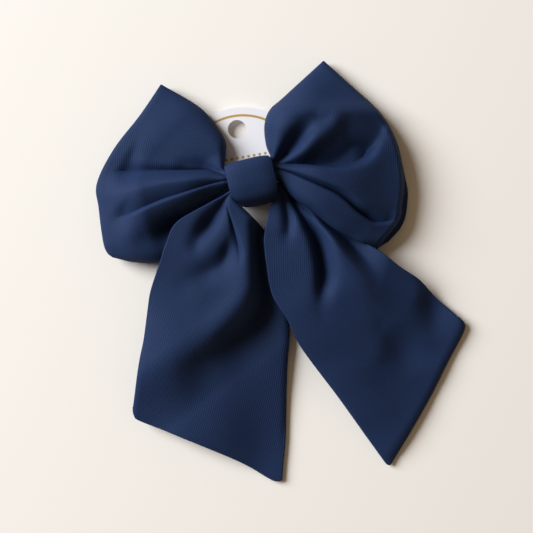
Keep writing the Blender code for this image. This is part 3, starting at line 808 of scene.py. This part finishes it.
def make_clip():
    """The clip's steel, and a steel copy of the spring in place of its CAD solid."""
    steel = plain("clip_steel", (0.62, 0.62, 0.63), 0.3, 1.0)
    coil = frame["nodes"]["clip_spring"]
    spring = bpy.data.objects.new("spring_wire", coil.data.copy())
    spring.matrix_world = coil.matrix_world
    dress(spring, steel)
    bpy.context.scene.collection.objects.link(spring)
    bend(spring,
         "clip_spring")
    for node in ("clip_upper_arm", "clip_lower_arm", "clip_pin"):
        dress(frame["nodes"][node], steel)


# --- surroundings ----------------------------------------------------------------------------

def backdrop(half=1.2, behind=0.0006):
    """Pale tabletop just behind the bow. It is see-through from behind, for views of the back, and
    casts no shadow, so that light reaches the back too."""
    material, tree, shader = new_material("pale_paper")
    shader.inputs["Base Color"].default_value = (0.915, 0.89, 0.862, 1)
    shader.inputs["Roughness"].default_value = 0.9
    shader.inputs["Specular IOR Level"].default_value = 0.1
    geometry = tree.nodes.new("ShaderNodeNewGeometry")
    clear = tree.nodes.new("ShaderNodeBsdfTransparent")
    mix = tree.nodes.new("ShaderNodeMixShader")
    path = tree.nodes.new("ShaderNodeLightPath")
    direct = math_node(tree, "LESS_THAN", path.outputs["Diffuse Depth"], 0.5)
    unshaded = times(tree, path.outputs["Is Shadow Ray"], direct)
    link(tree, math_node(tree, "MAXIMUM", geometry.outputs["Backfacing"], unshaded), mix.inputs[0])
    link(tree, shader.outputs[0], mix.inputs[1])
    link(tree, clear.outputs[0], mix.inputs[2])
    link(tree, mix.outputs[0], tree.nodes["Material Output"].inputs["Surface"])
    mesh = bpy.data.meshes.new("backdrop")
    corners = [(-half, -half), (half, -half), (half, half), (-half, half)]
    mesh.from_pydata([(x, behind, z) for x, z in corners], [], [(0, 1, 2, 3)])
    mesh.materials.append(material)
    obj = bpy.data.objects.new("backdrop", mesh)
    bpy.context.scene.collection.objects.link(obj)


def area_light(name, place, size, power, color, aim=(0, 0, -0.03)):
    """Round light in metres and watts that looks at the middle of the bow."""
    lamp = bpy.data.lights.new(name, "AREA")
    lamp.shape = "DISK"
    lamp.size = size
    lamp.energy = power
    lamp.color = color
    obj = bpy.data.objects.new(name, lamp)
    obj.location = place
    obj.rotation_euler = (Vector(aim) - Vector(place)).to_track_quat("-Z", "Y").to_euler()
    bpy.context.scene.collection.objects.link(obj)
    return obj


def lights():
    """A large window on the upper left, and a lamp behind that reaches only the back."""
    area_light("window", (-1.646, -1.256, 1.124), size=1.6, power=95.0, color=(0.955, 0.985, 1.0))
    behind = area_light("back_light", (0, 1.4, -0.03), size=0.35, power=24.0, color=(1.0, 0.98, 0.95))
    behind.visible_glossy = False


def world():
    """Dim warm fill for the object; a pale, even ground for the camera."""
    made = bpy.data.worlds.new("room")
    bpy.context.scene.world = made
    made.use_nodes = True
    tree = made.node_tree
    fill = tree.nodes["Background"]
    fill.inputs["Color"].default_value = (1.0, 0.72, 0.44, 1)
    fill.inputs["Strength"].default_value = 0.19
    seen = tree.nodes.new("ShaderNodeBackground")
    seen.inputs["Color"].default_value = (0.88, 0.85, 0.81, 1)
    path = tree.nodes.new("ShaderNodeLightPath")
    mix = tree.nodes.new("ShaderNodeMixShader")
    link(tree, path.outputs["Is Camera Ray"], mix.inputs[0])
    link(tree, fill.outputs[0], mix.inputs[1])
    link(tree, seen.outputs[0], mix.inputs[2])
    link(tree, mix.outputs[0], tree.nodes["World Output"].inputs[0])


def camera():
    """Long lens straight in front of the bow, rolled so that the bow looks turned."""
    lens = bpy.data.cameras.new("camera")
    lens.lens = LENS
    lens.sensor_width = SENSOR
    obj = bpy.data.objects.new("camera", lens)
    bpy.context.scene.collection.objects.link(obj)
    bpy.context.scene.camera = obj
    turn = math.radians(ROLL)
    x = VIEW_RIGHT * math.cos(turn) - VIEW_DOWN * math.sin(turn)
    z = -VIEW_RIGHT * math.sin(turn) - VIEW_DOWN * math.cos(turn)
    away = VIEW_PLANE + VIEW_WIDTH * LENS / SENSOR
    obj.location = (x * MM, -away * MM, z * MM)
    obj.rotation_euler = (math.pi / 2, turn, 0)


cloth = twill("navy_twill")
make_loops(cloth)
ride_bow(wrap_object(cloth), "centre_wrap")
make_tails(cloth)
make_clip()
dress(frame["nodes"]["gather_thread"], plain("thread", (0.03, 0.04, 0.08), 0.7))
dress(frame["nodes"]["display_card"], card_paper())
backdrop()
lights()
world()
camera()
bpy.context.scene.view_settings.view_transform = "Standard"
